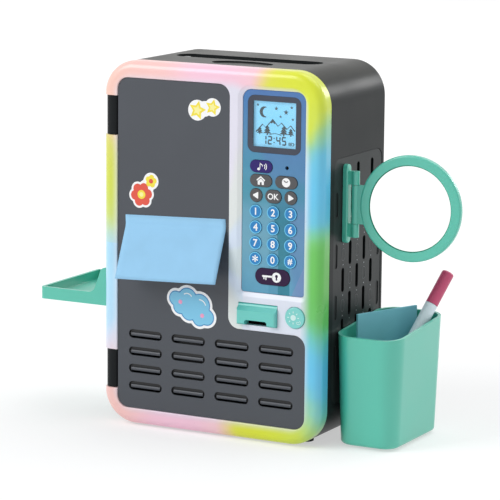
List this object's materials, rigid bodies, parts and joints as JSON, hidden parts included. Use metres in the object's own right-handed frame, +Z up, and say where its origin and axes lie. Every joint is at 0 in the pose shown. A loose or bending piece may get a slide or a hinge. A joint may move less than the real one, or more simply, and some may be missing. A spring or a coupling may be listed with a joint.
{
  "type": "toy electronic locker",
  "caption": "Desk-top toy locker with a keypad-locked hinged front door, peg-slot side panels, hanging cup, tray and swivel mirror, carry handle and a small rack-and-pinion bolt.",
  "frame": {"origin": "on the floor, under the middle of the housing", "axes": "+X to the right seen from the front, +Y towards the back, +Z up; the door faces -Y"},
  "size_m": [0.3559, 0.1338, 0.29],
  "materials": {
    "housing_grey": "moulded, fine satin",
    "foot_rubber": "matte",
    "pin_steel": "drawn wire",
    "handle_grey": "satin",
    "frame_pastel": "satin, soft rainbow gradient",
    "panel_grey": "satin",
    "battery": "plain wrap",
    "keypad_blue": "blue to teal facets",
    "display_window": "clear, dark border",
    "display": "liquid crystal",
    "key_rubber": "matte",
    "board": "solder mask",
    "speaker_black": "matte",
    "teal": "satin",
    "motor_steel": "plain",
    "white_plastic": "natural",
    "mirror": "polished",
    "pad_paper": "matte",
    "marker_pale": "satin",
    "marker_magenta": "satin",
    "note_paper": "matte",
    "key_plum": "satin",
    "key_blue": "satin",
    "key_grey": "satin"
  },
  "bodies": {
    "housing": {"housing_shell": "housing_grey", "back_panel": "housing_grey", "feet": "foot_rubber", "side_panel_left": "housing_grey", "side_panel_right": "housing_grey", "hinge_pins": "pin_steel", "strike": "housing_grey", "handle_well": "housing_grey"},
    "handle": {"carry_handle": "handle_grey", "handle_stud": "handle_grey"},
    "door": {"door_frame": "frame_pastel", "door_panel": "panel_grey", "door_back": "housing_grey", "electronics_cover": "housing_grey", "battery_cover": "housing_grey", "batteries": "battery", "keypad_plate": "keypad_blue", "display_lens": "display_window", "display_module": "display", "key_mat": "key_rubber", "circuit_board": "board", "speaker": "speaker_black", "pull_pin": "pin_steel", "lock_motor": "motor_steel", "sticky_note": "note_paper"},
    "pull": {"door_pull": "teal"},
    "button": {"light_button": "teal"},
    "bolt": {"lock_bolt": "white_plastic"},
    "pinion": {"lock_pinion": "white_plastic"},
    "mirror_arm": {"mirror_bracket": "teal", "mirror_pin": "pin_steel"},
    "mirror": {"mirror_frame": "teal", "mirror_glass": "mirror"},
    "cup": {"cup": "teal"},
    "pad": {"note_pad": "pad_paper"},
    "marker": {"marker_barrel": "marker_pale"},
    "cap": {"marker_cap": "marker_magenta"},
    "tray": {"tray": "teal"},
    "button_music": {"key_music": "key_plum"},
    "button_home": {"key_home": "key_grey"},
    "button_clock": {"key_clock": "key_grey"},
    "button_left": {"key_left": "key_grey"},
    "button_ok": {"key_ok": "key_grey"},
    "button_right": {"key_right": "key_grey"},
    "button_unlock": {"key_unlock": "key_plum"},
    "button_1": {"key_1": "key_blue"},
    "button_2": {"key_2": "key_blue"},
    "button_3": {"key_3": "key_blue"},
    "button_4": {"key_4": "key_blue"},
    "button_5": {"key_5": "key_blue"},
    "button_6": {"key_6": "key_blue"},
    "button_7": {"key_7": "key_blue"},
    "button_8": {"key_8": "key_blue"},
    "button_9": {"key_9": "key_blue"},
    "button_0": {"key_0": "key_blue"},
    "button_star": {"key_star": "key_blue"},
    "button_hash": {"key_hash": "key_blue"}
  },
  "joints": [
    {"name": "handle_lift", "type": "slide", "parent": "housing", "child": "handle", "axis": [0, 0, 1], "range_m": [0, 0.028]},
    {"name": "door_hinge", "type": "hinge", "parent": "housing", "child": "door", "pos_m": [-0.089, -0.048, 0.14575], "axis": [0, 0, -1], "range_deg": [0, 110]},
    {"name": "pull_hinge", "type": "hinge", "parent": "door", "child": "pull", "pos_m": [0.04235, -0.0532, 0.1072], "axis": [-1, 0, 0], "range_deg": [0, 18], "stiffness_Nm_per_rad": 0.03},
    {"name": "light_press", "type": "slide", "parent": "door", "child": "button", "axis": [0, 1, 0], "range_m": [0, 0.0012], "stiffness_N_per_m": 300},
    {"name": "bolt_slide", "type": "slide", "parent": "door", "child": "bolt", "axis": [1, 0, 0], "range_m": [0, 0.0064]},
    {"name": "pinion_spin", "type": "hinge", "parent": "door", "child": "pinion", "pos_m": [0.062, -0.032, 0.24125], "axis": [0, 1, 0], "range_deg": [-60, 125]},
    {"name": "mirror_lift_off", "type": "slide", "parent": "housing", "child": "mirror_arm", "axis": [1, 0, 0], "range_m": [0, 0.02]},
    {"name": "mirror_swing", "type": "hinge", "parent": "mirror_arm", "child": "mirror", "pos_m": [0.1055, -0.0166, 0.1871], "axis": [0, 0, 1], "range_deg": [-85, 80]},
    {"name": "cup_lift_off", "type": "slide", "parent": "housing", "child": "cup", "axis": [1, 0, 0], "range_m": [0, 0.02]},
    {"name": "pad_draw", "type": "slide", "parent": "cup", "child": "pad", "axis": [0, 0, 1], "range_m": [0, 0.045]},
    {"name": "marker_draw", "type": "slide", "parent": "cup", "child": "marker", "axis": [0.2558, 0.5165, 0.8172], "range_m": [0, 0.06]},
    {"name": "cap_pull", "type": "slide", "parent": "marker", "child": "cap", "axis": [0.2558, 0.5165, 0.8172], "range_m": [0, 0.03]},
    {"name": "tray_lift_off", "type": "slide", "parent": "housing", "child": "tray", "axis": [-1, 0, 0], "range_m": [0, 0.02]},
    {"name": "press_music", "type": "slide", "parent": "door", "child": "button_music", "axis": [0, 1, 0], "range_m": [0, 0.0008], "stiffness_N_per_m": 300},
    {"name": "press_home", "type": "slide", "parent": "door", "child": "button_home", "axis": [0, 1, 0], "range_m": [0, 0.0008], "stiffness_N_per_m": 300},
    {"name": "press_clock", "type": "slide", "parent": "door", "child": "button_clock", "axis": [0, 1, 0], "range_m": [0, 0.0008], "stiffness_N_per_m": 300},
    {"name": "press_left", "type": "slide", "parent": "door", "child": "button_left", "axis": [0, 1, 0], "range_m": [0, 0.0008], "stiffness_N_per_m": 300},
    {"name": "press_ok", "type": "slide", "parent": "door", "child": "button_ok", "axis": [0, 1, 0], "range_m": [0, 0.0008], "stiffness_N_per_m": 300},
    {"name": "press_right", "type": "slide", "parent": "door", "child": "button_right", "axis": [0, 1, 0], "range_m": [0, 0.0008], "stiffness_N_per_m": 300},
    {"name": "press_unlock", "type": "slide", "parent": "door", "child": "button_unlock", "axis": [0, 1, 0], "range_m": [0, 0.0008], "stiffness_N_per_m": 300},
    {"name": "press_1", "type": "slide", "parent": "door", "child": "button_1", "axis": [0, 1, 0], "range_m": [0, 0.0008], "stiffness_N_per_m": 300},
    {"name": "press_2", "type": "slide", "parent": "door", "child": "button_2", "axis": [0, 1, 0], "range_m": [0, 0.0008], "stiffness_N_per_m": 300},
    {"name": "press_3", "type": "slide", "parent": "door", "child": "button_3", "axis": [0, 1, 0], "range_m": [0, 0.0008], "stiffness_N_per_m": 300},
    {"name": "press_4", "type": "slide", "parent": "door", "child": "button_4", "axis": [0, 1, 0], "range_m": [0, 0.0008], "stiffness_N_per_m": 300},
    {"name": "press_5", "type": "slide", "parent": "door", "child": "button_5", "axis": [0, 1, 0], "range_m": [0, 0.0008], "stiffness_N_per_m": 300},
    {"name": "press_6", "type": "slide", "parent": "door", "child": "button_6", "axis": [0, 1, 0], "range_m": [0, 0.0008], "stiffness_N_per_m": 300},
    {"name": "press_7", "type": "slide", "parent": "door", "child": "button_7", "axis": [0, 1, 0], "range_m": [0, 0.0008], "stiffness_N_per_m": 300},
    {"name": "press_8", "type": "slide", "parent": "door", "child": "button_8", "axis": [0, 1, 0], "range_m": [0, 0.0008], "stiffness_N_per_m": 300},
    {"name": "press_9", "type": "slide", "parent": "door", "child": "button_9", "axis": [0, 1, 0], "range_m": [0, 0.0008], "stiffness_N_per_m": 300},
    {"name": "press_0", "type": "slide", "parent": "door", "child": "button_0", "axis": [0, 1, 0], "range_m": [0, 0.0008], "stiffness_N_per_m": 300},
    {"name": "press_star", "type": "slide", "parent": "door", "child": "button_star", "axis": [0, 1, 0], "range_m": [0, 0.0008], "stiffness_N_per_m": 300},
    {"name": "press_hash", "type": "slide", "parent": "door", "child": "button_hash", "axis": [0, 1, 0], "range_m": [0, 0.0008], "stiffness_N_per_m": 300}
  ],
  "couplings": [
    {"joint": "pinion_spin", "follows": "bolt_slide", "rad_per_m": 166.67}
  ]
}
